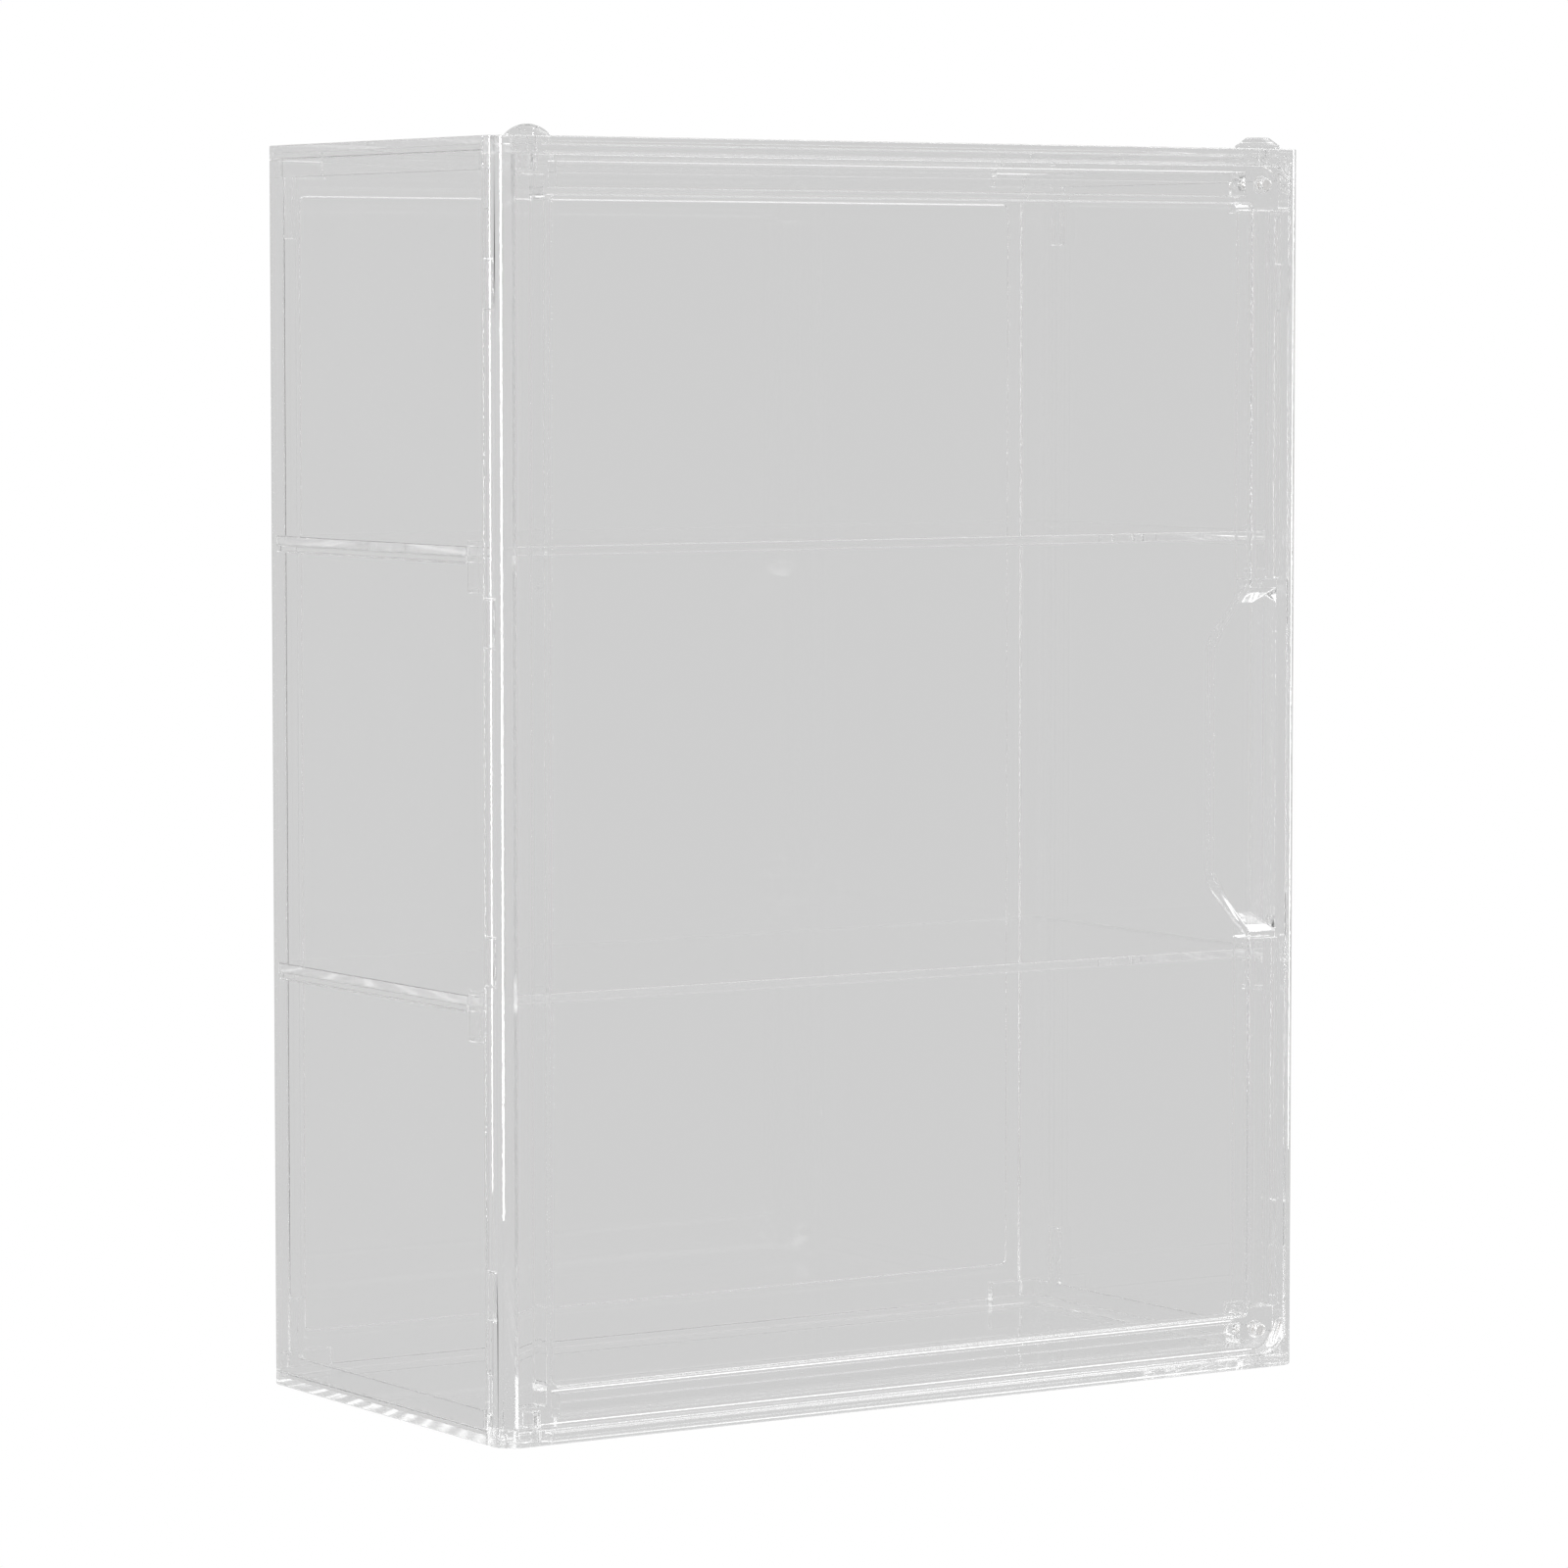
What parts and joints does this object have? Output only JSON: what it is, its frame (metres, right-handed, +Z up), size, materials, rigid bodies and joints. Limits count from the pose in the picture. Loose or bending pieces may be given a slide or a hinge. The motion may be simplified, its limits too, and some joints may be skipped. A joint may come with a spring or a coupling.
{
  "type": "display case",
  "caption": "Clear plastic display case for shoes: a snap-together cabinet with shelves and a hinged front door with a finger pull and a magnetic catch.",
  "frame": {"origin": "middle of the case's footprint, on the surface that it rests on", "axes": "+X to the right as seen from the front, +Y to the back, +Z up"},
  "size_m": [0.304, 0.152, 0.4036],
  "materials": {
    "clear_plastic": "clear, polished",
    "door_plastic": "clear, polished",
    "clip_plastic": "clear, polished",
    "magnet_plating": "nickel plate"
  },
  "bodies": {
    "case": {"front_frame": "clear_plastic", "base_panel": "clear_plastic", "top_panel": "clear_plastic", "left_side_panel": "clear_plastic", "right_side_panel": "clear_plastic", "back_panel": "clear_plastic", "lower_shelf": "clear_plastic", "upper_shelf": "clear_plastic", "lower_left_shelf_clip": "clip_plastic", "lower_right_shelf_clip": "clip_plastic", "upper_left_shelf_clip": "clip_plastic", "upper_right_shelf_clip": "clip_plastic", "lower_hinge_pin": "clip_plastic", "upper_hinge_pin": "clip_plastic", "pivot_cap": "clip_plastic", "blank_cap": "clip_plastic", "lower_frame_magnet": "magnet_plating", "upper_frame_magnet": "magnet_plating"},
    "door": {"door": "door_plastic", "lower_door_magnet": "magnet_plating", "upper_door_magnet": "magnet_plating"}
  },
  "joints": [
    {"name": "door_swing", "type": "hinge", "parent": "case", "child": "door", "pos_m": [-0.138, -0.0685, 0.2], "axis": [0, 0, -1], "range_deg": [0, 90]}
  ]
}
